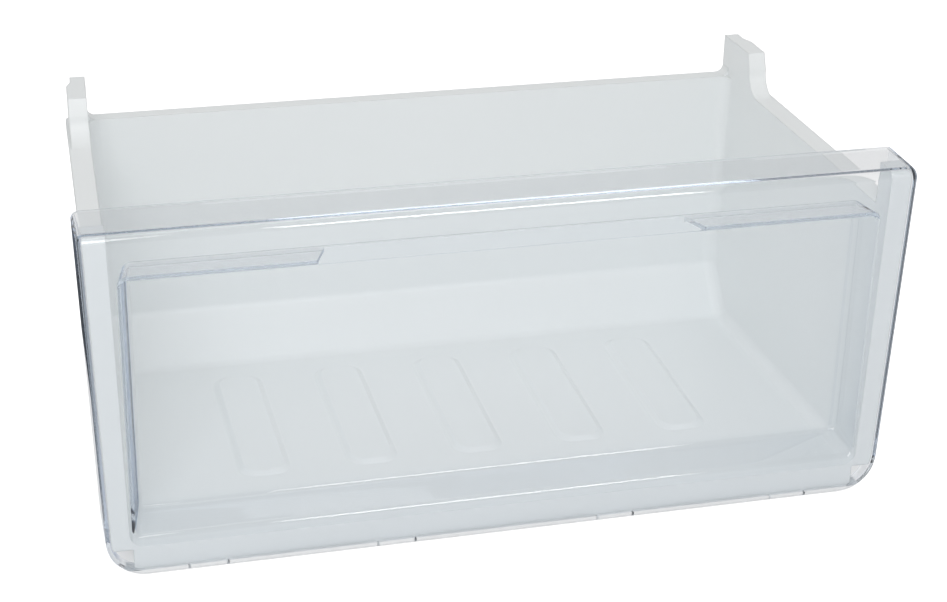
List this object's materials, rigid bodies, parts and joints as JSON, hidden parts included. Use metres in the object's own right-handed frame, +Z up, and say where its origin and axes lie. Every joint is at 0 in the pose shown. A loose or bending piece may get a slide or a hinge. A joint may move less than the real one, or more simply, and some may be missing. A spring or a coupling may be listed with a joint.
{
  "type": "freezer drawer",
  "caption": "Pull-out freezer drawer: a white moulded tub with ribbed floor, rims and rear ears, closed by a clear front cover with a recessed window and a finger opening.",
  "frame": {"origin": "under the middle of the drawer, level with the lower edge of the front cover", "axes": "+X to the right seen from the front, +Y from the front face to the back wall, +Z up"},
  "size_m": [0.4548, 0.238, 0.202],
  "materials": {
    "white_plastic": "satin moulded polystyrene, cool white",
    "clear_plastic": "polished clear polystyrene with a slight cool tint"
  },
  "bodies": {
    "tub_body": {"tub": "white_plastic"},
    "cover_body": {"front_cover": "clear_plastic"}
  },
  "joints": [
    {"name": "cover_pull", "type": "slide", "parent": "tub_body", "child": "cover_body", "axis": [0, -1, 0], "range_m": [0, 0.06]}
  ]
}
